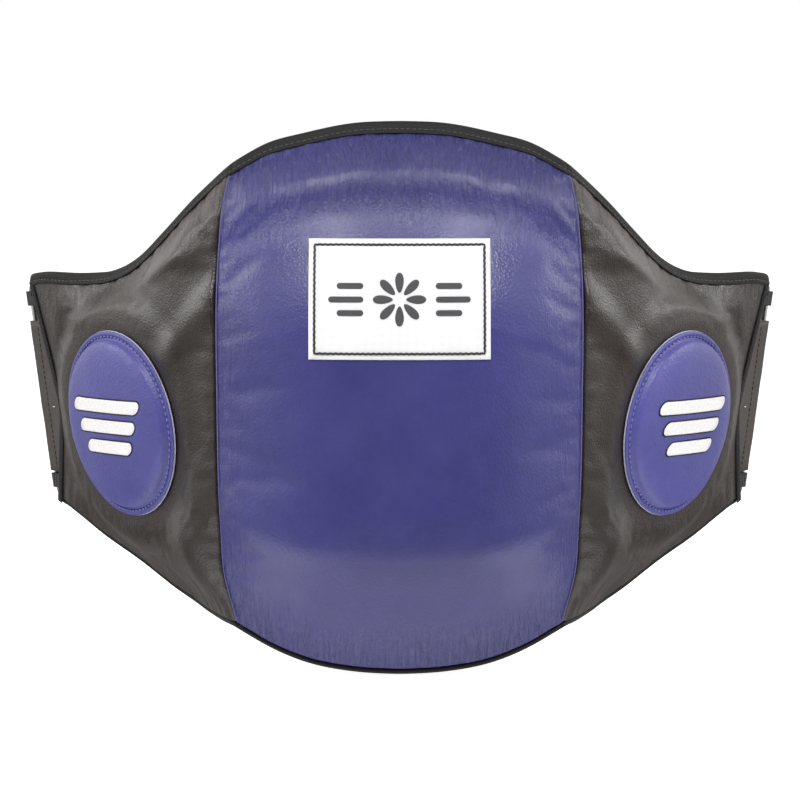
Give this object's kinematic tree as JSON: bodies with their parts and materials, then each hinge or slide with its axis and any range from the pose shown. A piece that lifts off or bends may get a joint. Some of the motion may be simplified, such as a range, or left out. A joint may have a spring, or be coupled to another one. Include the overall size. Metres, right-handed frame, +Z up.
{
  "type": "trainer belly pad",
  "caption": "Padded belly protector worn by a striking coach: domed leather front, curved side wings with round pads, ringed hook-and-loop back strap.",
  "frame": {"origin": "middle of the flat inner face of the centre lining, where the pad rests on the belly", "axes": "+X to the right as seen from the front, +Y from the front towards the wearer and the back strap, +Z up"},
  "size_m": [0.576, 0.2794, 0.4052],
  "materials": {
    "blue_leather": "semi-gloss pebbled leather, blue-violet",
    "black_leather": "satin soft leather, warm black",
    "edge_tape": "thin black binding, low sheen",
    "lining_nylon": "coated nylon weave",
    "dense_foam": "closed-cell foam",
    "soft_foam": "open-cell foam",
    "pale_hide": "undyed cut edge",
    "woven_label": "white woven patch",
    "nickel": "bright nickel plate",
    "webbing": "black polypropylene webbing",
    "elastic": "ribbed black elastic",
    "hook_tape": "hook side of a hook-and-loop fastener",
    "loop_tape": "loop pile of a hook-and-loop fastener"
  },
  "bodies": {
    "centre_panel": {"centre_cover": "blue_leather", "centre_impact_foam": "dense_foam", "centre_core_foam": "dense_foam", "centre_comfort_foam": "soft_foam", "centre_lining": "lining_nylon", "label_patch": "woven_label", "centre_top_binding": "edge_tape", "centre_bottom_piping": "edge_tape"},
    "left_wing": {"left_wing_cover": "black_leather", "left_wing_foam": "dense_foam", "left_wing_comfort_foam": "soft_foam", "left_wing_lining": "lining_nylon", "left_wing_top_binding": "edge_tape", "left_wing_bottom_piping": "edge_tape", "left_wing_end_binding": "edge_tape", "left_disc_backing": "pale_hide", "left_disc_foam": "dense_foam", "left_disc_cover": "blue_leather", "left_anchor_flap": "black_leather", "left_upper_tab": "webbing", "left_lower_tab": "webbing"},
    "left_slot_ring": {"left_ring": "nickel"},
    "left_strap": {"left_strap_loop": "webbing", "left_strap_elastic": "elastic", "left_strap_panel": "black_leather", "left_hook_pad": "hook_tape"},
    "right_wing": {"right_wing_cover": "black_leather", "right_wing_foam": "dense_foam", "right_wing_comfort_foam": "soft_foam", "right_wing_lining": "lining_nylon", "right_wing_top_binding": "edge_tape", "right_wing_bottom_piping": "edge_tape", "right_wing_end_binding": "edge_tape", "right_disc_backing": "pale_hide", "right_disc_foam": "dense_foam", "right_disc_cover": "blue_leather", "right_anchor_flap": "black_leather", "right_upper_tab": "webbing", "right_lower_tab": "webbing"},
    "right_slot_ring": {"right_ring": "nickel"},
    "right_strap": {"right_strap_loop": "webbing", "right_strap_elastic": "elastic", "right_strap_panel": "black_leather", "right_loop_pad": "loop_tape"}
  },
  "joints": [
    {"name": "left_wing_flex", "type": "hinge", "parent": "centre_panel", "child": "left_wing", "pos_m": [-0.132, -0.045, 0], "axis": [0, 0, 1], "range_deg": [-4, 20], "stiffness_Nm_per_rad": 4},
    {"name": "right_wing_flex", "type": "hinge", "parent": "centre_panel", "child": "right_wing", "pos_m": [0.132, -0.045, 0], "axis": [0, 0, 1], "range_deg": [-20, 4], "stiffness_Nm_per_rad": 4},
    {"name": "left_ring_swing", "type": "hinge", "parent": "left_wing", "child": "left_slot_ring", "pos_m": [-0.27382, 0.15207, -0.005], "axis": [-0.1243, -0.0718, 0.9897], "range_deg": [-20.3, 4.1]},
    {"name": "right_ring_swing", "type": "hinge", "parent": "right_wing", "child": "right_slot_ring", "pos_m": [0.27382, 0.15207, -0.005], "axis": [0.1243, -0.0718, 0.9897], "range_deg": [-4.1, 20.3]},
    {"name": "left_strap_swing", "type": "hinge", "parent": "left_slot_ring", "child": "left_strap", "pos_m": [-0.26149, 0.1792, -0.00148], "axis": [-0.1243, -0.0718, 0.9897], "range_deg": [0, 120]},
    {"name": "right_strap_swing", "type": "hinge", "parent": "right_slot_ring", "child": "right_strap", "pos_m": [0.26149, 0.1792, -0.00148], "axis": [0.1243, -0.0718, 0.9897], "range_deg": [-60, 0]}
  ],
  "couplings": [
    {"joint": "right_wing_flex", "follows": "left_wing_flex", "ratio": -1},
    {"joint": "left_ring_swing", "follows": "left_wing_flex", "ratio": -1.0105},
    {"joint": "right_ring_swing", "follows": "left_wing_flex", "ratio": 1.0105},
    {"joint": "right_strap_swing", "follows": "left_strap_swing", "ratio": -0.5}
  ]
}
